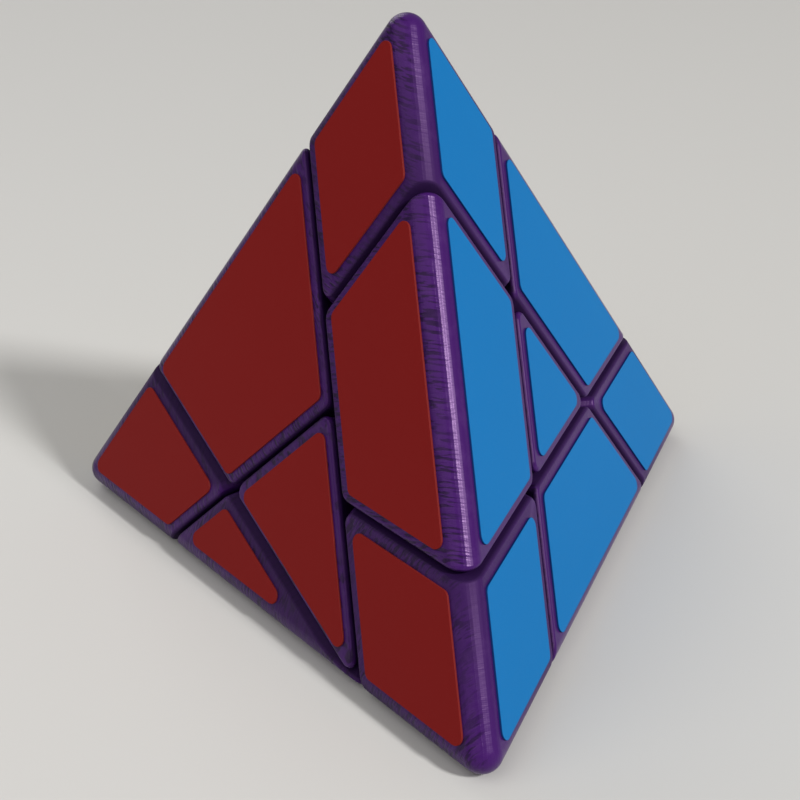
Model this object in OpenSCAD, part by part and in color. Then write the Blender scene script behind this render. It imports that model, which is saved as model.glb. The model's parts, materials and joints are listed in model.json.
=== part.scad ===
// Pyramid twisty puzzle: a regular tetrahedron cut by four planes through its middle.
// One half stands turned about the axis through the left corner, so that the other
// three cuts of the two halves don't line up.

/* [Body] */
// Edge of the pyramid, between the sharp corners that the rounding takes off
edge_length = 110; // [100:1:160]
// Radius of the rounding along the pyramid's edges and at its corners
outer_radius = 2.9; // [1:0.1:4]
// Gap between two neighbouring pieces
piece_gap = 0.6; // [0.2:0.05:0.8]
// Leg of the bevel where a cut meets a face
cut_bevel = 0.6; // [0.3:0.1:1.5]
// Leg of the bevel along the edge where two cuts meet
meeting_bevel = 1.3; // [0.4:0.1:2]

/* [Feet and core] */
// Thickness of the feet that hook under the neighbouring pieces
foot_thickness = 4; // [3:0.25:6]
// How far a foot reaches under its neighbour
hook_depth = 1.2; // [0.8:0.05:1.6]
// Height of the neck that joins a foot to its piece
neck_height = 1; // [0.6:0.1:2]
// Clearance between the round faces that slide on each other
slide_clearance = 0.3; // [0.15:0.05:0.5]

/* [Screws, springs and caps] */
// Diameter of a screw's thread
screw_d = 2.5; // [2:0.1:3]
// Length of a screw under its head
screw_length = 12; // [9:0.5:14]
// Diameter of a screw's head
head_d = 4.6; // [4:0.1:5]
// Height of a screw's head
head_height = 1.6; // [1.2:0.1:2]
// Width across the flats of the hexagon socket in a screw's head
socket_flats = 2; // [1.5:0.1:2.5]
// Depth of the hexagon socket
socket_depth = 1; // [0.6:0.1:1.1]
// Diameter of a washer
washer_d = 4.8; // [4.2:0.1:5]
// Thickness of a washer
washer_thickness = 0.5; // [0.3:0.1:0.8]
// Length of a spring between its seat and the washer
spring_length = 4; // [3:0.1:5]
// Outer diameter of a spring
spring_d = 4.2; // [3.8:0.1:4.6]
// Diameter of a spring's wire
spring_wire = 0.45; // [0.3:0.05:0.5]
// Number of turns in a spring
spring_turns = 5; // [4:1:6]
// Thickness of the plastic that a spring presses on
seat_thickness = 2; // [1.5:0.1:3]
// Clearance around a screw in a face centre, and inside a washer
screw_clearance = 0.1; // [0.05:0.05:0.3]
// Clearance around the washer in its pocket
pocket_clearance = 0.3; // [0.2:0.05:0.4]
// Free height between a screw's head and its cap
head_room = 0.8; // [0.4:0.1:2]
// Diameter of a cap
cap_d = 6.6; // [6.2:0.1:7.4]
// Thickness of a cap, at its thinnest
cap_thickness = 1.5; // [1:0.1:2.5]
// Clearance around a cap in its hole
cap_clearance = 0.1; // [0.05:0.05:0.2]

/* [Stickers] */
// Thickness of a sticker
sticker_thickness = 0.3; // [0.1:0.05:0.5]
// Distance from a cut to the stickers beside it
sticker_border = 2; // [1.6:0.1:3]
// Distance from the pyramid's edge rounding to the stickers beside it
sticker_margin = 0.05; // [0:0.05:1]
// Radius of a sticker's corners
sticker_radius = 1.3; // [0.4:0.1:2]

/* [Hidden] */
$fn = 96;
body_purple = "#4b286e";
face_names = ["bottom", "blue", "yellow", "red"];
face_colours = ["#1f8f4a", "#1c86d1", "#e8c02a", "#8e1d1f"];
steel = "#b9bcc2";

// The corners are numbered 0 top, 1 left, 2 front, 3 right; face i lies opposite corner i.
// A piece is the list of its sides: +1 where it lies on a cut's corner side, -1 beyond it.
corner_names = ["top_corner", "left_corner", "front_corner", "right_corner"];
corner_sides = [for (i = [0 : 3]) [for (k = [0 : 3]) k == i ? 1 : -1]];
edge_names = ["top_left_edge", "top_front_edge", "top_right_edge",
              "left_front_edge", "left_right_edge", "front_right_edge"];
edge_sides = [for (i = [0 : 2]) for (j = [i + 1 : 3]) [for (k = [0 : 3]) k == i || k == j ? 1 : -1]];
centre_names = [for (i = [0 : 3]) str(face_names[i], "_centre")];
centre_sides = [for (i = [0 : 3]) [for (k = [0 : 3]) k == i ? -1 : 1]];
piece_names = concat(corner_names, edge_names, centre_names);
piece_sides = concat(corner_sides, edge_sides, centre_sides);

// Cut i parts corner i from face i, so a piece reaches a face when it lies beyond that cut
function on_face(piece, f) = piece_sides[piece][f] < 0;
sticker_list = [for (f = [0 : 3]) for (p = [0 : len(piece_names) - 1]) if (on_face(p, f)) [f, p]];
function sticker_name(s) = str(face_names[s[0]], "_sticker_", piece_names[s[1]]);

screw_names = [for (i = [0 : 3]) str(face_names[i], "_screw")];
spring_names = [for (i = [0 : 3]) str(face_names[i], "_spring")];
washer_names = [for (i = [0 : 3]) str(face_names[i], "_washer")];
cap_names = [for (i = [0 : 3]) str(face_names[i], "_cap")];

// Geometry. Lengths are taken from the pyramid's middle, where all four cuts meet.
inradius = edge_length / sqrt(24);
middle_height = inradius + sticker_thickness;
span = 2 * edge_length;
// The origin is under the middle of the pyramid's box, so the middle stands behind it
middle_back = sqrt(8) / 4 * (inradius - outer_radius);
flat_edge = outer_radius * sqrt(2);
stack_height = cap_thickness + head_room + head_height + washer_thickness + spring_length + seat_thickness;
core_r = inradius - stack_height;
foot_r = core_r + foot_thickness;
seat_level = core_r + seat_thickness;
washer_level = seat_level + spring_length;
head_level = washer_level + washer_thickness;
cap_level = inradius - cap_thickness;
pocket_r = washer_d / 2 + pocket_clearance;
half_offset = 30;

// Unit directions from the middle to the corners, and the same ones for the core half's cuts
low = -1 / 3;
out = sqrt(8) / 3;
corner_dirs = [[0, 0, 1], [out * cos(150), out * sin(150), low], [0, -out, low],
               [out * cos(30), out * sin(30), low]];
turn_axis = corner_dirs[1];
function turned(v) = v * cos(half_offset) - cross(turn_axis, v) * sin(half_offset)
    + turn_axis * (turn_axis * v) * (1 - cos(half_offset));
function in_core_half(sides) = sides[1] > 0;
function cut_dir(sides, k) = in_core_half(sides) ? turned(corner_dirs[k]) : corner_dirs[k];
// The outward normal of a piece's side at cut k
function side_dir(sides, k) = -sides[k] * cut_dir(sides, k);
// A screw's axis, outwards; the blue face's centre belongs to the turning half
function screw_dir(i) = -cut_dir(centre_sides[i], i);
function azimuth(v) = norm([v.x, v.y]) < 1e-9 ? 0 : atan2(v.y, v.x);

module from_middle() {
    translate([0, middle_back, middle_height]) children();
}

// Turns +Z to direction v
module along(v) {
    rotate([0, acos(v.z), azimuth(v)]) children();
}

// Everything up to distance d from the middle, measured along v
module up_to(v, d) {
    along(v) translate([-span, -span, d - 2 * span]) cube(2 * span);
}

module rounded_pyramid() {
    hull() for (v = corner_dirs) translate(v * 3 * (inradius - outer_radius)) sphere(outer_radius, $fn = 32);
}

// The wedge between a piece's cuts, in the outer layer (hook = 0) or in the layer of the feet
module wedge(sides, hook) {
    intersection_for (k = [0 : 3])
        up_to(side_dir(sides, k), -sides[k] * hook - piece_gap / 2);
}

// Everything inside the bevel between two planes that face a and b, where d is the sum of
// their distances from the middle
module inside_bevel(a, b, d, leg) {
    up_to((a + b) / norm(a + b), (d - leg * norm(cross(a, b))) / norm(a + b));
}

module inside_face_bevels(sides, faces) {
    intersection_for (f = faces, k = [0 : 3])
        if (k != f) inside_bevel(side_dir(sides, k), -corner_dirs[f], inradius - piece_gap / 2, cut_bevel);
}

module inside_meeting_bevels(sides) {
    intersection_for (k = [0 : 2], j = [1 : 3])
        if (j > k) inside_bevel(side_dir(sides, k), side_dir(sides, j), -piece_gap, meeting_bevel);
}

module outer_part(sides, faces) {
    difference() {
        intersection() {
            wedge(sides, 0);
            inside_face_bevels(sides, faces);
            inside_meeting_bevels(sides);
            rounded_pyramid();
        }
        sphere(foot_r + slide_clearance / 2);
    }
}

module foot_part(sides) {
    intersection() {
        wedge(sides, hook_depth);
        sphere(foot_r - slide_clearance / 2);
    }
}

module neck_part(sides) {
    intersection() {
        wedge(sides, 0);
        wedge(sides, hook_depth);
        sphere(foot_r + neck_height);
    }
}

// The faces that a piece reaches
function faces_of(p) = [for (f = [0 : 3]) if (on_face(p, f)) f];

module piece_body(p) {
    sides = piece_sides[p];
    difference() {
        union() {
            outer_part(sides, faces_of(p));
            neck_part(sides);
            foot_part(sides);
        }
        sphere(core_r);
    }
}

module corner_or_edge(p) {
    color(body_purple) from_middle() piece_body(p);
}

module face_centre(i) {
    color(body_purple) from_middle() difference() {
        piece_body(10 + i);
        along(screw_dir(i)) {
            cylinder(r = screw_d / 2 + screw_clearance, h = span);
            translate([0, 0, seat_level]) cylinder(r = pocket_r, h = span);
            translate([0, 0, cap_level]) cylinder(r = cap_d / 2, h = span);
        }
    }
}

module core() {
    color("#2b2b2e") from_middle() difference() {
        sphere(core_r - slide_clearance);
        for (i = [0 : 3]) along(screw_dir(i))
            translate([0, 0, head_level - screw_length]) cylinder(r = screw_d / 2, h = span);
    }
}

module screw(i) {
    color(steel) from_middle() along(screw_dir(i)) translate([0, 0, head_level]) difference() {
        rotate_extrude() {
            translate([0, -screw_length]) square([screw_d / 2, screw_length + head_height]);
            square([head_d / 2, head_height]);
        }
        translate([0, 0, head_height - socket_depth])
            cylinder(r = socket_flats / sqrt(3), h = 2 * socket_depth, $fn = 6);
    }
}

module washer(i) {
    color(steel) from_middle() along(screw_dir(i)) translate([0, 0, washer_level]) difference() {
        cylinder(r = washer_d / 2, h = washer_thickness);
        translate([0, 0, -1]) cylinder(r = screw_d / 2 + screw_clearance, h = washer_thickness + 2);
    }
}

// A spring's first and last turns are closed: their pitch is just over the wire's diameter
closed_pitch = 1.05 * spring_wire;
open_pitch = (spring_length - spring_wire - 2 * closed_pitch) / (spring_turns - 2);
function spring_rise(t) = min(t, 1) * closed_pitch + max(0, min(t - 1, spring_turns - 2)) * open_pitch
    + max(0, t - spring_turns + 1) * closed_pitch;
ring_sides = 6;
rings_per_turn = 18;
ring_count = spring_turns * rings_per_turn;
coil_r = (spring_d - spring_wire) / 2;
function spring_point(n, m) = let (r = coil_r + spring_wire / 2 * cos(m * 360 / ring_sides))
    [r * cos(n * 360 / rings_per_turn), r * sin(n * 360 / rings_per_turn),
     spring_rise(n / rings_per_turn) + spring_wire / 2 * (1 + sin(m * 360 / ring_sides))];
spring_points = [for (n = [0 : ring_count]) for (m = [0 : ring_sides - 1]) spring_point(n, m)];
function ring_point(n, m) = n * ring_sides + m % ring_sides;
spring_faces = concat(
    [[for (m = [0 : ring_sides - 1]) m]],
    [for (n = [0 : ring_count - 1]) for (m = [0 : ring_sides - 1])
        [ring_point(n, m), ring_point(n + 1, m), ring_point(n + 1, m + 1), ring_point(n, m + 1)]],
    [[for (m = [ring_sides - 1 : -1 : 0]) ring_point(ring_count, m)]]);

module spring(i) {
    color(steel) from_middle() along(screw_dir(i)) translate([0, 0, seat_level])
        polyhedron(spring_points, spring_faces);
}

module cap(i) {
    color(body_purple) from_middle() intersection() {
        along(screw_dir(i)) translate([0, 0, cap_level]) cylinder(r = cap_d / 2 - cap_clearance, h = span);
        up_to(-corner_dirs[i], inradius);
    }
}

// The part of face f on the inner side of a plane that faces v, at d from the middle, less a border
module face_side(f, v, d, border) {
    face_dir = -corner_dirs[f];
    across = [cos(acos(face_dir.z)) * cos(azimuth(face_dir)), cos(acos(face_dir.z)) * sin(azimuth(face_dir)),
              -sin(acos(face_dir.z))];
    up = cross(face_dir, across);
    slope = norm([v * across, v * up]);
    rotate(atan2(v * up, v * across))
        translate([(d - inradius * (v * face_dir)) / slope - border - 2 * span, -span]) square(2 * span);
}

module sticker(f, p) {
    sides = piece_sides[p];
    color(face_colours[f]) from_middle() along(-corner_dirs[f]) translate([0, 0, inradius])
        linear_extrude(sticker_thickness) offset(sticker_radius, $fn = 32) intersection() {
            intersection_for (k = [0 : 3])
                if (k != f) face_side(f, side_dir(sides, k), 0, sticker_border + sticker_radius);
            intersection_for (k = [0 : 3])
                if (k != f) face_side(f, -corner_dirs[k], inradius, flat_edge + sticker_margin + sticker_radius);
        }
}

core();
for (p = [0 : 9])
    corner_or_edge(p);
for (i = [0 : 3]) {
    face_centre(i);
    screw(i);
    spring(i);
    washer(i);
    cap(i);
}
for (s = sticker_list)
    sticker(s[0], s[1]);
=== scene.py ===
import json
from math import ceil, cos, pi, radians, sin, sqrt
import bmesh
import bpy
from mathutils import Matrix, Vector


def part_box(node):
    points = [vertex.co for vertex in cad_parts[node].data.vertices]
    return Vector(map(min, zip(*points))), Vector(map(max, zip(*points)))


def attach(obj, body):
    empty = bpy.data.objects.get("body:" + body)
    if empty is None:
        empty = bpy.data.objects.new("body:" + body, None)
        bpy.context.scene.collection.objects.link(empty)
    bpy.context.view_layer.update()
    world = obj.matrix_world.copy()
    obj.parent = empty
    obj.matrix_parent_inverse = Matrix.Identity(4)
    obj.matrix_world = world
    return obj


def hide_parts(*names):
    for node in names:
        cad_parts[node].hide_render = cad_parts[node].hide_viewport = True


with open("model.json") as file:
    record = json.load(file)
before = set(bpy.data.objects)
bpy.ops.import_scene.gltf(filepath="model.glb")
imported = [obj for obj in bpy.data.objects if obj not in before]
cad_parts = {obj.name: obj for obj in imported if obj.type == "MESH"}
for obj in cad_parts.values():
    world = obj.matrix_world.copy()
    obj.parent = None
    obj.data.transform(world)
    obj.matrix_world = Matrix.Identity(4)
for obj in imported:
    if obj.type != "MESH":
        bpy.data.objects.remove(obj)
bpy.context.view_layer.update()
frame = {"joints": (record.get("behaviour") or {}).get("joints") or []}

mm = 0.001  # the meshes are built in millimetres from the puzzle's middle, then scaled and moved into place
turnJoint = frame["joints"][0]
middle = Vector(turnJoint["pos_m"])
turnAxis = -Vector(turnJoint["axis"]).normalized()  # towards the left corner
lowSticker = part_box("bottom_sticker_left_corner")
film = (lowSticker[1][2] - lowSticker[0][2]) / mm  # how thick the stickers are
inradius = middle.z / mm - film
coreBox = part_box("core")
coreRadius = (coreBox[1][2] - coreBox[0][2]) / 2 / mm

shape = {
    "edgeRadius": 2.9,      # rounding along the pyramid's edges and corners
    "cutRadius": 0.6,       # rounding where a cut comes out
    "meetingRadius": 1.7,   # rounding along the edge where two cuts meet
    "gap": 0.6,             # between two pieces
    "halfOffset": 30,       # degrees that the core half's cuts stand turned
    "smoothStep": 9,        # degrees between two rows of a rounding
    "sharpAngle": 32,       # degrees from which an edge is shaded as a crease
    "meetingSteps": 4,      # flats along the rounding where two cuts meet, plus one
}
mechanism = {
    "slideClearance": 0.3,  # between the round faces that slide on each other
    "footThickness": 4.0,
    "hookDepth": 1.2,       # how far a foot reaches under its neighbour
    "neckHeight": 1.0,
    "ease": 0.03,           # how far the foot's sides stand behind the piece's own
}
cornerDirs = [Vector((0, 0, 1))] + [Matrix.Rotation(radians(a), 3, "Z") @ turnAxis for a in (0, 120, 240)]
halfTurn = Matrix.Rotation(-radians(shape["halfOffset"]), 3, turnAxis)
cornerNames = ["top", "left", "front", "right"]
faceNames = ["bottom", "blue", "yellow", "red"]  # each one lies opposite the corner with its number
stickerSlots = ["green_sticker", "blue_sticker", "yellow_sticker", "red_sticker"]

# A piece's sides: +1 where it lies on a cut's corner side, -1 beyond the cut
pieceSides = {}
for i in range(4):
    pieceSides[f"{cornerNames[i]}_corner"] = [1 if k == i else -1 for k in range(4)]
for i in range(3):
    for j in range(i + 1, 4):
        pieceSides[f"{cornerNames[i]}_{cornerNames[j]}_edge"] = [1 if k in (i, j) else -1 for k in range(4)]
for i in range(4):
    pieceSides[f"{faceNames[i]}_centre"] = [-1 if k == i else 1 for k in range(4)]


def cutDir(sides, k):
    return halfTurn @ cornerDirs[k] if sides[1] > 0 else cornerDirs[k]


def sideDir(sides, k):  # the outward normal of a piece's side at cut k
    return -sides[k] * cutDir(sides, k)


def bodyOfPiece(sides):
    return "core_half" if sides[1] > 0 else "turning_half"


def screwDir(i):
    return -cutDir(pieceSides[f"{faceNames[i]}_centre"], i)


def hullOf(points):
    bm = bmesh.new()
    for p in points:
        bm.verts.new(p)
    bmesh.ops.convex_hull(bm, input=bm.verts)
    bmesh.ops.delete(bm, geom=[v for v in bm.verts if not v.link_faces], context="VERTS")
    bmesh.ops.dissolve_limit(bm, angle_limit=0.002, verts=bm.verts, edges=bm.edges)
    return bm


def clip(bm, normal, distance, fill=True):  # keeps what lies up to that distance along the normal
    bmesh.ops.bisect_plane(bm, geom=bm.verts[:] + bm.edges[:] + bm.faces[:], dist=1e-5,
                           plane_co=normal * distance, plane_no=normal, clear_outer=True)
    rim = [e for e in bm.edges if e.is_boundary]
    if fill and rim:
        bmesh.ops.holes_fill(bm, edges=rim)
    return bm


def between(a, b, steps):  # unit vectors from a to b
    angle = a.angle(b)
    if angle < 1e-4:
        return [a]
    return [(a * sin(angle * (1 - k / steps)) + b * sin(angle * k / steps)) / sin(angle)
            for k in range(steps + 1)]


def stepsFor(a, b):
    return max(1, ceil(a.angle(b) / radians(shape["smoothStep"]) - 0.01))


def roundOff(bm, radius):  # the convex solid grown by a ball, with matching rows along every edge
    points = []
    bm.normal_update()
    for v in bm.verts:
        loops = list(v.link_loops)
        ring, loop = [], loops[0]
        for _ in loops:
            ring.append(loop.face.normal.copy())
            loop = loop.link_loop_prev.link_loop_radial_next
        for a, b in zip(ring[1:-1], ring[2:]):
            for d in between(a, b, stepsFor(a, b)):
                for e in between(ring[0], d, stepsFor(ring[0], d)):
                    points.append(v.co + radius * e)
    return hullOf(points)


def ball(radius, detail=4):  # each step of detail splits every triangle into four
    bm = bmesh.new()
    bmesh.ops.create_icosphere(bm, subdivisions=detail, radius=radius)
    return bm


def roundedPyramid(radius):
    grid = []
    faces = [-d for d in cornerDirs]
    for i in range(4):
        for j in range(i + 1, 4):
            for k in range(j + 1, 4):
                for d in between(faces[j], faces[k], stepsFor(faces[j], faces[k])):
                    grid += between(faces[i], d, stepsFor(faces[i], d))
    return hullOf([c * 3 * (inradius - shape["edgeRadius"]) + radius * d for c in cornerDirs for d in grid])


def wedge(bm, sides, hook, inset):  # what lies between a piece's cuts
    for k in range(4):
        clip(bm, sideDir(sides, k), -sides[k] * hook - inset)
    return bm


def roundMeetings(bm, sides, inset, radius):  # along the edges where two cuts meet, to be grown with the rest
    for k in range(3):
        for j in range(k + 1, 4):
            a, b = sideDir(sides, k), sideDir(sides, j)
            for d in between(a, b, shape["meetingSteps"])[1:-1]:
                clip(bm, d, radius - (inset + radius) * (d.dot(a) + d.dot(b)) / (1 + a.dot(b)))
    return bm


def meshFrom(bm, name):
    mesh = bpy.data.meshes.new(name)
    bm.to_mesh(mesh)
    bm.free()
    return mesh


def combine(mesh, *steps):  # each step is (operation, bmesh)
    target = bpy.data.objects.new("target", mesh)
    bpy.context.collection.objects.link(target)
    tools = []
    for operation, bm in steps:
        tool = bpy.data.objects.new("tool", meshFrom(bm, "tool"))
        bpy.context.collection.objects.link(tool)
        tools.append(tool)
        change = target.modifiers.new("cut", "BOOLEAN")
        change.operation = operation
        change.solver = "MANIFOLD"
        change.object = tool
    result = bpy.data.meshes.new_from_object(target.evaluated_get(bpy.context.evaluated_depsgraph_get()))
    for o in [target] + tools:
        old = o.data
        bpy.data.objects.remove(o)
        bpy.data.meshes.remove(old)
    return result


def skin(bm, rings, closed=False):  # quads between rings of vertices, where a ring of one is a tip
    for low, high in zip(rings, rings[1:] + rings[:1] if closed else rings[1:]):
        count = max(len(low), len(high))
        for n in range(count):
            m = (n + 1) % count
            corners = [low[n % len(low)], low[m % len(low)], high[m % len(high)], high[n % len(high)]]
            bm.faces.new(list(dict.fromkeys(corners)))


def circle(radius, height, turns):
    if radius < 1e-6:
        return [Vector((0, 0, height))]
    angles = [2 * pi * n / turns for n in range(turns)]
    return [Vector((radius * cos(a), radius * sin(a), height)) for a in angles]


def lathe(profile, turns=64, closed=False):  # (radius, height) pairs, both ends on the axis unless closed
    bm = bmesh.new()
    skin(bm, [[bm.verts.new(p) for p in circle(r, h, turns)] for r, h in profile], closed)
    bmesh.ops.recalc_face_normals(bm, faces=bm.faces)
    return bm


def pointed(bm, axis):  # turns +Z to that direction
    bmesh.ops.rotate(bm, verts=bm.verts, matrix=Vector((0, 0, 1)).rotation_difference(axis).to_matrix())
    return bm


def grooveDepth(point, walls):  # 1 on a cut's wall, 0 where its rounding meets the outer face
    reach = max([point.dot(wall) + shape["gap"] / 2 for wall in walls], default=-inradius)
    return max(0.0, 1 + reach / shape["cutRadius"])


def finishPiece(mesh, name, body, slot, replaced, layerAxis=None, walls=(), sharpAngle=shape["sharpAngle"]):
    if layerAxis is not None:
        points = mesh.vertices
        insideRadius = footRadius + mechanism["neckHeight"] + 0.5
        measures = {
            "layerHeight": [v.co.dot(layerAxis) for v in points],  # in the print, in millimetres
            "roughSide": [-v.normal.dot(cornerDirs[3]) for v in points],  # 1 away from the right corner, the side turned from the key light, where the ridges are deeper and their shadows are painted
            "inside": [float(v.co.length < insideRadius) for v in points],
            "groove": [grooveDepth(v.co, walls) for v in points],
        }
        for key, values in measures.items():
            mesh.attributes.new(key, "FLOAT", "POINT").data.foreach_set("value", values)
    mesh.transform(Matrix.Translation(middle) @ Matrix.Scale(mm, 4))
    mesh.name = name
    mesh.shade_smooth()
    mesh.set_sharp_from_angle(angle=radians(sharpAngle))
    mesh.materials.clear()
    mesh.materials.append(finishes[slot])
    piece = bpy.data.objects.new(name, mesh)
    bpy.context.collection.objects.link(piece)
    evenNormals = piece.modifiers.new("evenNormals", "WEIGHTED_NORMAL")
    evenNormals.keep_sharp = True
    evenNormals.weight = 80
    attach(piece, body)
    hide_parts(replaced)
    return piece


class Socket:  # a node's output, so that Python's operators add Math nodes
    def __init__(self, finish, out):
        self.finish = finish
        self.out = out

    def __add__(self, other):
        return self.finish.math("ADD", self, other)

    def __radd__(self, other):
        return self.finish.math("ADD", other, self)

    def __mul__(self, other):
        return self.finish.math("MULTIPLY", self, other)

    def __rmul__(self, other):
        return self.finish.math("MULTIPLY", other, self)

    def __pow__(self, other):
        return self.finish.math("POWER", self, other)

    def __rpow__(self, other):
        return self.finish.math("POWER", other, self)


class Finish:  # one material and its nodes
    def __init__(self, name, **constants):
        self.material = bpy.data.materials.new(name)
        self.material.use_nodes = True
        self.tree = self.material.node_tree
        self.tree.nodes.clear()
        self.end = self.tree.nodes.new("ShaderNodeOutputMaterial")
        self.shader = self.tree.nodes.new("ShaderNodeBsdfPrincipled")
        self.tree.links.new(self.shader.outputs[0], self.end.inputs["Surface"])
        self.feed(self.shader, constants)

    def feed(self, node, values):
        for key, value in values.items():
            if isinstance(key, int):
                socket = node.inputs[key]
            else:
                socket = next(s for s in node.inputs if key in (s.identifier, s.name))
            if isinstance(value, Socket):
                self.tree.links.new(value.out, socket)
            elif socket.type == "RGBA":
                socket.default_value = (*value, 1.0)
            else:
                socket.default_value = value

    def add(self, kind, settings=None, values=None, out=0):
        node = self.tree.nodes.new(kind)
        for key, value in (settings or {}).items():
            if key == "stops":
                ramp = node.color_ramp
                while len(ramp.elements) < len(value):
                    ramp.elements.new(0.5)
                for element, (place, level) in zip(ramp.elements, value):
                    element.position = place
                    element.color = (level, level, level, 1.0)
            else:
                setattr(node, key, value)
        self.feed(node, values or {})
        if isinstance(out, int):
            return Socket(self, node.outputs[out])
        return Socket(self, next(s for s in node.outputs if out in (s.identifier, s.name)))

    def math(self, operation, a, b=0.0):
        return self.add("ShaderNodeMath", {"operation": operation}, {0: a, 1: b})

    def measure(self, name):  # a value that each vertex of the mesh holds
        return self.add("ShaderNodeAttribute", {"attribute_name": name}, out="Fac")

    def place(self):  # where on the object, in metres
        return self.add("ShaderNodeTexCoord", out="Object")

    def noise(self, vector, scale, detail=2.0, roughness=0.5):
        return self.add("ShaderNodeTexNoise", {"noise_dimensions": "3D"},
                        {"Vector": vector, "Scale": scale, "Detail": detail, "Roughness": roughness})

    def ramp(self, value, *stops):
        return self.add("ShaderNodeValToRGB", {"stops": stops}, {"Fac": value})

    def mix(self, factor, a, b):
        return self.add("ShaderNodeMix", {"data_type": "RGBA"},
                        {"Factor_Float": factor, "A_Color": a, "B_Color": b}, out="Result_Color")

    def bump(self, height, strength, depth):
        return self.add("ShaderNodeBump", None,
                        {"Height": height, "Strength": strength, "Distance": depth * mm})

    def use(self, **values):
        self.feed(self.shader, {key.replace("_", " "): value for key, value in values.items()})
        return self.material


plastic = {
    "base": (0.041, 0.0070, 0.098),
    "paintedShade": (0.009, 0.0025, 0.024),    # painted shade: the ridge shadows between the printed layers, the walls of the cuts and the hollows near the core
    "worn": (0.095, 0.034, 0.170),     # rubbed patches
    "sheen": (0.80, 0.50, 0.88),
    "layer": 0.2,          # mm, one printed layer
    "layerDepth": 0.001,   # mm
    "ridge": 0.45,         # mm, between the coarser ridges
    "ridgeLength": 1.7,    # mm
    "ridgeDepth": 0.10,    # mm, on the rough side
    "faintDepth": 0.03,    # mm, everywhere
    "patch": 7.0,          # mm, size of the stretches where ridges show
    "rubbed": 0.3,         # how much the rubbed patches show
    "roughness": 0.28,
    "grooveShade": 0.8,    # how much darker the walls of the cuts are
    "insideShade": 0.95,
}
blackPlastic = {
    "base": (0.028, 0.028, 0.031),
    # painted shade colour for the black core, used as for the purple
    "paintedShade": (0.010, 0.010, 0.012),
    "worn": (0.09, 0.09, 0.095),
}
vinyl = {
    "roughness": 0.5,
    "grain": 0.35,         # mm
    "grainDepth": 0.006,   # mm
    "ripple": 45.0,        # per metre
    "rippleDepth": 0.12,   # mm
    "cloud": 28.0,         # per metre
    "cloudShade": 0.22,
    "red_sticker": ((0.215, 0.0062, 0.0055), (0.16, 0.014, 0.012)),    # face of the film, and its cut edge darkened as painted shade on the film's side wall
    "blue_sticker": ((0.002, 0.145, 0.395), (0.003, 0.022, 0.12)),
    "yellow_sticker": ((0.78, 0.47, 0.022), (0.45, 0.22, 0.012)),
    "green_sticker": ((0.012, 0.25, 0.062), (0.006, 0.09, 0.03)),
}


def printedPlastic(name, colours):
    f = Finish(name, **{"IOR": 1.46, "Specular IOR Level": 0.32, "Specular Tint": plastic["sheen"]})
    place = f.place()
    height = f.measure("layerHeight")
    inside = f.measure("inside")
    groove = f.measure("groove")
    wobble = f.noise(place, 60.0)
    layers = f.math("SINE", (height + wobble * 0.12) * (2 * pi / plastic["layer"]))
    wide = f.add("ShaderNodeVectorMath", {"operation": "SCALE"},
                 {"Vector": place, "Scale": 1 / (plastic["ridgeLength"] * mm)})
    along = f.add("ShaderNodeCombineXYZ", None, {"X": height * (1 / plastic["ridge"])})
    ridges = f.noise(f.add("ShaderNodeVectorMath", {"operation": "ADD"}, {0: wide, 1: along}), 1.0, 2.0, 0.5)
    patches = f.ramp(f.noise(place, 1 / (plastic["patch"] * mm), 2.0), (0.34, 0.4), (0.52, 1.0))
    marked = patches * f.ramp(f.measure("roughSide"), (0.45, 0.0), (0.72, 1.0))
    # painted shade: dark dashes as the shadows of the ridges, on the side turned from the key light
    ridgeShadows = f.ramp(ridges, (0.42, 1.0), (0.49, 0.0)) * marked
    rubbed = f.ramp(f.noise(place, 420.0, 4.0, 0.65), (0.5, 0.0), (0.8, 1.0))
    # painted shade: the walls of the cuts and the hollows near the core are darkened towards the painted
    # shade colour
    shade = f.math("MAXIMUM", inside ** 0.6 * plastic["insideShade"], groove * plastic["grooveShade"])
    colour = f.mix(ridgeShadows * 0.9, colours["base"], colours["paintedShade"])
    colour = f.mix(rubbed * plastic["rubbed"], colour, colours["worn"])
    colour = f.mix(shade, colour, colours["paintedShade"])
    depth = marked * plastic["ridgeDepth"] + plastic["faintDepth"]
    normal = f.bump(layers * plastic["layerDepth"] + ridges * depth, 1.0, 1.0)
    roughness = rubbed * 0.10 + f.math("MAXIMUM", inside, groove) * 0.4 + plastic["roughness"]
    return f.use(Base_Color=colour, Roughness=roughness, Normal=normal)


def stickerFilm(slot):
    face, edge = vinyl[slot]
    f = Finish(slot, **{"IOR": 1.45, "Specular IOR Level": 0.12})
    place = f.place()
    cloud = f.noise(place, vinyl["cloud"], 3.0)
    colour = f.mix(cloud * vinyl["cloudShade"], face, tuple(c * 0.72 for c in face))
    # painted shade: the film's side wall and bevel, where the rim measure is 1, take the darker edge colour
    colour = f.mix(f.measure("rim"), colour, edge)
    grain = f.noise(place, 1 / (vinyl["grain"] * mm), 2.0)
    ripple = f.noise(place, vinyl["ripple"], 1.0)
    normal = f.bump(grain * vinyl["grainDepth"] + ripple * vinyl["rippleDepth"], 0.5, 1.0)
    return f.use(Base_Color=colour, Roughness=grain * 0.08 + vinyl["roughness"], Normal=normal)


def zincSteel():
    f = Finish("steel", Metallic=1.0, IOR=1.5)
    place = f.place()
    scratches = f.noise(place, 2400.0, 3.0, 0.7)
    tone = f.noise(place, 300.0, 2.0)
    colour = f.mix(tone * 0.5, (0.62, 0.62, 0.60), (0.42, 0.42, 0.44))
    return f.use(Base_Color=colour, Roughness=scratches * 0.25 + 0.2, Normal=f.bump(scratches, 0.2, 0.01))


finishes = {slot: stickerFilm(slot) for slot in stickerSlots}
finishes["purple_plastic"] = printedPlastic("purple_plastic", plastic)
finishes["core_plastic"] = printedPlastic("core_plastic", blackPlastic)
finishes["steel"] = zincSteel()
print("materials:", len(finishes))

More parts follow.
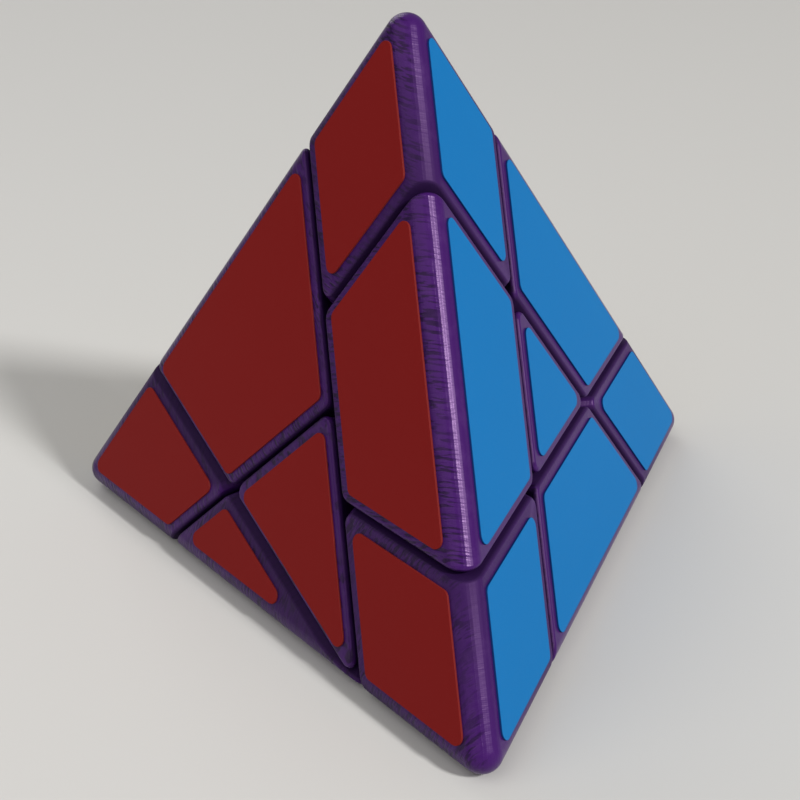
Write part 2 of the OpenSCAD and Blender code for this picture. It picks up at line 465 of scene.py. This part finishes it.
hardware = {
    "screwRadius": 1.25, "screwLength": 12.0, "screwPlay": 0.1, "borePoint": 0.3,
    "threadPitch": 0.45, "threadDepth": 0.22, "threadRunout": 0.8, "tipShare": 0.55, "tipLength": 0.9,
    "headRadius": 2.3, "headHeight": 1.6, "headRounding": 0.3, "headEase": 0.1, "headSink": 0.02,
    "socketRadius": 1.155, "socketDepth": 1.0, "socketSides": 6,
    "washerRadius": 2.4, "washerThickness": 0.5, "washerEase": 0.08, "pocketPlay": 0.3,
    "springLength": 4.0, "springRadius": 2.1, "springWire": 0.45, "springTurns": 5, "endPitch": 1.05,
    "seatThickness": 2.0, "capRadius": 3.3, "capPlay": 0.1, "capThickness": 1.5, "capEase": 0.15,
}
innerRadius = coreRadius + mechanism["slideClearance"]
footRadius = innerRadius + mechanism["footThickness"]
seatLevel = innerRadius + hardware["seatThickness"]
washerLevel = seatLevel + hardware["springLength"]
headLevel = washerLevel + hardware["washerThickness"]
capLevel = inradius - hardware["capThickness"]
farOut = 2 * inradius


def screwHole(i):
    screw = hardware["screwRadius"] + hardware["screwPlay"]
    pocket = hardware["washerRadius"] + hardware["pocketPlay"]
    cap = hardware["capRadius"]
    hole = lathe([(0, 0), (screw, 0), (screw, seatLevel), (pocket, seatLevel), (pocket, capLevel),
                  (cap, capLevel), (cap, farOut), (0, farOut)])
    return pointed(hole, screwDir(i))


def buildPiece(name, sides):
    rounding = shape["cutRadius"]
    wall = shape["gap"] / 2
    footWall = wall + mechanism["ease"]
    play = mechanism["slideClearance"] / 2
    outer = wedge(roundedPyramid(shape["edgeRadius"] - rounding), sides, 0, wall + rounding)
    roundMeetings(outer, sides, wall + rounding, shape["meetingRadius"] - rounding)
    outer = roundOff(outer, rounding)
    foot = wedge(ball(footRadius - play), sides, mechanism["hookDepth"], footWall)
    neck = wedge(ball(footRadius + mechanism["neckHeight"]), sides, 0, footWall)
    wedge(neck, sides, mechanism["hookDepth"], footWall)
    steps = [("DIFFERENCE", ball(footRadius + play)), ("UNION", neck), ("UNION", foot),
             ("DIFFERENCE", ball(innerRadius))]
    if name.endswith("_centre"):
        steps.append(("DIFFERENCE", screwHole(faceNames.index(name.split("_")[0]))))
    mesh = combine(meshFrom(outer, name), *steps)
    ends = [d for side, d in zip(sides, cornerDirs) if side > 0]
    if len(ends) == 2:  # an edge piece's layers are stacked along the edge, and the others' outwards
        layerAxis = (ends[0] - ends[1]).normalized()
    else:
        layerAxis = sum(ends, Vector()).normalized()
    finishPiece(mesh, f"{name}_shell", bodyOfPiece(sides), "purple_plastic", name, layerAxis,
                [sideDir(sides, k) for k in range(4)])


for name, sides in pieceSides.items():
    buildPiece(name, sides)
print("plastic pieces:", len(pieceSides))

sticker = {
    "border": 2.0,        # from a cut
    "margin": 0.05,       # from where the edge rounding begins
    "cornerRadius": 1.3,
    "cornerSteps": 6,
    "edgeBevel": 0.07,
}


def stickerRing(corners, face, radius, height):
    ring = []
    for before, here, after in zip(corners[-1:] + corners[:-1], corners, corners[1:] + corners[:1]):
        a = (here - before).normalized().cross(face)
        b = (after - here).normalized().cross(face)
        ring += [here + radius * d + height * face for d in between(a, b, sticker["cornerSteps"])]
    return ring


def buildSticker(f, name, sides):
    face = -cornerDirs[f]
    across = face.orthogonal().normalized()
    up = face.cross(across)
    bm = bmesh.new()
    size = 6 * inradius  # well past the face's corners
    bm.faces.new([bm.verts.new(inradius * face + size * (x * across + y * up))
                  for x, y in ((-1, -1), (1, -1), (1, 1), (-1, 1))])
    flatEdge = shape["edgeRadius"] * sqrt(2) + sticker["margin"] + sticker["cornerRadius"]
    for k in [n for n in range(4) if n != f]:
        side = sideDir(sides, k)
        clip(bm, side, -(sticker["border"] + sticker["cornerRadius"]) * sin(side.angle(face)), fill=False)
        other = -cornerDirs[k]
        clip(bm, other, inradius - flatEdge * sin(other.angle(face)), fill=False)
    bm.normal_update()
    corners = [v.co.copy() for v in bm.faces[:][0].verts]
    if bm.faces[:][0].normal.dot(face) < 0:
        corners.reverse()
    bm.free()
    bevel, radius = sticker["edgeBevel"], sticker["cornerRadius"]
    rows = [(radius, 0, 1), (radius, film - bevel, 1)]
    rows += [(radius - bevel * (1 - cos(a)), film - bevel * (1 - sin(a)), 1 - a / (pi / 2))
             for a in (pi / 4, pi / 2)]
    bm = bmesh.new()
    rim = bm.verts.layers.float.new("rim")
    rings = []
    for r, h, edge in rows:
        ring = [bm.verts.new(p) for p in stickerRing(corners, face, r, h)]
        for v in ring:
            v[rim] = edge
        rings.append(ring)
    skin(bm, rings)
    bm.faces.new(rings[-1])
    bm.faces.new(rings[0][::-1])
    node = f"{faceNames[f]}_sticker_{name}"
    finishPiece(meshFrom(bm, node), f"{node}_film", bodyOfPiece(sides), stickerSlots[f], node)


stickerCount = 0
for f in range(4):
    for name, sides in pieceSides.items():
        if sides[f] < 0:
            buildSticker(f, name, sides)
            stickerCount += 1
print("stickers:", stickerCount)


def threadedShank():
    turns = 32  # vertices round the shank
    rows = 192
    length = hardware["screwLength"]
    bm = bmesh.new()
    rings = []
    for j in range(rows + 1):
        h = length * j / rows
        point = min(1, hardware["tipShare"] + (1 - hardware["tipShare"]) * h / hardware["tipLength"])
        depth = hardware["threadDepth"] * min(1, (length - h) / hardware["threadRunout"])
        ring = []
        for n, p in enumerate(circle(1, h, turns)):
            wave = abs(2 * ((h / hardware["threadPitch"] - n / turns) % 1) - 1)
            r = (hardware["screwRadius"] - depth * wave) * point
            ring.append(bm.verts.new((r * p.x, r * p.y, h)))
        rings.append(ring)
    skin(bm, rings)
    bm.faces.new(rings[0][::-1])
    bm.faces.new(rings[-1])
    bmesh.ops.translate(bm, verts=bm.verts, vec=(0, 0, headLevel - length))
    return bm


def buildScrew(i):
    radius, rounding, ease = hardware["headRadius"], hardware["headRounding"], hardware["headEase"]
    low = headLevel - hardware["headSink"]  # a little into the shank, so that the two join
    top = headLevel + hardware["headHeight"]
    rows = [(0, low), (radius - ease, low), (radius, low + ease)]
    rows += [(radius - rounding * (1 - cos(a)), top - rounding * (1 - sin(a)))
             for a in (0, pi / 6, pi / 3, pi / 2)]
    head = lathe(rows + [(0, top)], 48)
    floor = top - hardware["socketDepth"]
    socket = lathe([(0, floor - hardware["borePoint"]), (hardware["socketRadius"], floor),
                    (hardware["socketRadius"], top + 1), (0, top + 1)], hardware["socketSides"])
    mesh = combine(meshFrom(threadedShank(), "screw"), ("UNION", head), ("DIFFERENCE", socket))
    mesh.transform(Vector((0, 0, 1)).rotation_difference(screwDir(i)).to_matrix().to_4x4())
    finishPiece(mesh, f"{faceNames[i]}_screw_steel", "core_half", "steel", f"{faceNames[i]}_screw")


def buildWasher(i):
    low, high, ease = washerLevel, headLevel, hardware["washerEase"]
    bore, rim = hardware["screwRadius"] + hardware["screwPlay"], hardware["washerRadius"]
    profile = [(bore, low + ease), (bore + ease, low), (rim - ease, low), (rim, low + ease),
               (rim, high - ease), (rim - ease, high), (bore + ease, high), (bore, high - ease)]
    ring = pointed(lathe(profile, closed=True), screwDir(i))
    finishPiece(meshFrom(ring, "washer"), f"{faceNames[i]}_washer_steel", "core_half", "steel",
                f"{faceNames[i]}_washer")


def buildSpring(i):
    turns, wire = hardware["springTurns"], hardware["springWire"] / 2
    coil, closedPitch = hardware["springRadius"] - wire, hardware["endPitch"] * 2 * wire
    stepsPerTurn = 32
    openPitch = (hardware["springLength"] - 2 * wire - 2 * closedPitch) / (turns - 2)
    bm = bmesh.new()
    rings = []
    for n in range(turns * stepsPerTurn + 1):
        t = n / stepsPerTurn
        middleTurns = max(0, min(t - 1, turns - 2))
        rise = (min(t, 1) + max(0, t - turns + 1)) * closedPitch + middleTurns * openPitch
        around = Vector((cos(2 * pi * t), sin(2 * pi * t), 0))
        centre = coil * around + Vector((0, 0, seatLevel + wire + rise))
        rings.append([bm.verts.new(centre + wire * (cos(a) * around + Vector((0, 0, sin(a)))))
                      for a in (2 * pi * m / 12 for m in range(12))])
    skin(bm, rings)
    bm.faces.new(rings[0])
    bm.faces.new(rings[-1][::-1])
    bmesh.ops.recalc_face_normals(bm, faces=bm.faces)
    finishPiece(meshFrom(pointed(bm, screwDir(i)), "spring"), f"{faceNames[i]}_spring_steel", "core_half",
                "steel", f"{faceNames[i]}_spring", sharpAngle=60)


def buildCap(i):  # its outer face is level with the pyramid's
    ease = hardware["capEase"]
    radius = hardware["capRadius"] - hardware["capPlay"] - ease
    disc = hullOf([p for h in (capLevel + ease, farOut) for p in circle(radius, h, 64)])
    clip(pointed(disc, screwDir(i)), -cornerDirs[i], inradius - ease)
    body = bodyOfPiece(pieceSides[f"{faceNames[i]}_centre"])
    finishPiece(meshFrom(roundOff(disc, ease), "cap"), f"{faceNames[i]}_cap_shell", body, "purple_plastic",
                f"{faceNames[i]}_cap", -cornerDirs[i])


def buildCore():
    tip, radius = headLevel - hardware["screwLength"], hardware["screwRadius"]
    profile = [(0, tip - hardware["borePoint"]), (radius, tip), (radius, farOut), (0, farOut)]
    bores = [pointed(lathe(profile), screwDir(i)) for i in range(4)]
    mesh = combine(meshFrom(ball(coreRadius, 5), "core"), *[("DIFFERENCE", bore) for bore in bores])
    finishPiece(mesh, "core_ball", "core_half", "core_plastic", "core", Vector((0, 0, 1)))


buildCore()
for i in range(4):
    for build in (buildScrew, buildSpring, buildWasher, buildCap):
        build(i)
print("core, screws, springs, washers and caps")

# The floor, the light and the camera
setting = {
    "floor": (0.56, 0.55, 0.53),
    "floorReach": 6.0,  # metres from its middle to each side
    "worldColour": (1.0, 0.99, 0.97),
    "world": 0.26,
    # Each light: where it stands from the puzzle, how far, how wide and how strong
    "key": ((0.54, -0.59, 0.60), 2.5, 0.33, 58.0),
    "fill": ((-0.62, -0.40, 0.72), 0.5, 0.7, 1.2),
    "back": ((-0.25, 0.85, 0.55), 1.6, 1.2, 6.0),
    "azimuth": -7.97,   # degrees, from the front
    "elevation": 27.24,
    "roll": -1.12,
    "distance": 0.2449,
    "aimRight": -1.91 * mm,  # the aim from the puzzle's middle, across and up the view
    "aimUp": 2.52 * mm,
    "lens": 72.35,
}


def facing(position, right, up, back):
    return Matrix.Translation(position) @ Matrix((right, up, back)).transposed().to_4x4()


def areaLight(name, direction, distance, size, power):
    data = bpy.data.lights.new(name, "AREA")
    data.shape = "DISK"
    data.size = size
    data.energy = power
    light = bpy.data.objects.new(name, data)
    back = Vector(direction).normalized()
    right = Vector((0, 0, 1)).cross(back).normalized()
    light.matrix_world = facing(middle + distance * back, right, back.cross(right), back)
    bpy.context.collection.objects.link(light)


def buildFloor():
    bm = bmesh.new()
    bmesh.ops.create_grid(bm, x_segments=8, y_segments=8, size=setting["floorReach"])
    floor = bpy.data.objects.new("floor", meshFrom(bm, "floor"))
    f = Finish("floor", Roughness=0.75)
    floor.data.materials.append(f.use(Base_Color=setting["floor"]))
    bpy.context.collection.objects.link(floor)


def buildCamera():
    turn, tilt, roll = (radians(setting[key]) for key in ("azimuth", "elevation", "roll"))
    back = Vector((sin(turn) * cos(tilt), -cos(turn) * cos(tilt), sin(tilt)))
    levelRight = Vector((cos(turn), sin(turn), 0))
    levelUp = back.cross(levelRight)
    right = levelRight * cos(roll) + levelUp * sin(roll)
    up = back.cross(right)
    aim = middle + right * setting["aimRight"] + up * setting["aimUp"]
    data = bpy.data.cameras.new("camera")
    data.sensor_width = 36
    data.lens = setting["lens"]
    data.clip_start = 0.01
    camera = bpy.data.objects.new("camera", data)
    camera.matrix_world = facing(aim + setting["distance"] * back, right, up, back)
    bpy.context.collection.objects.link(camera)
    bpy.context.scene.camera = camera


buildFloor()
for name in ("key", "fill", "back"):
    areaLight(name, *setting[name])
world = bpy.data.worlds.new("world")
world.use_nodes = True
sky = next(n for n in world.node_tree.nodes if n.type == "BACKGROUND")
sky.inputs["Color"].default_value = (*setting["worldColour"], 1.0)
sky.inputs["Strength"].default_value = setting["world"]
bpy.context.scene.world = world
bpy.context.scene.view_settings.view_transform = "Standard"
buildCamera()
print("floor, lights and camera")
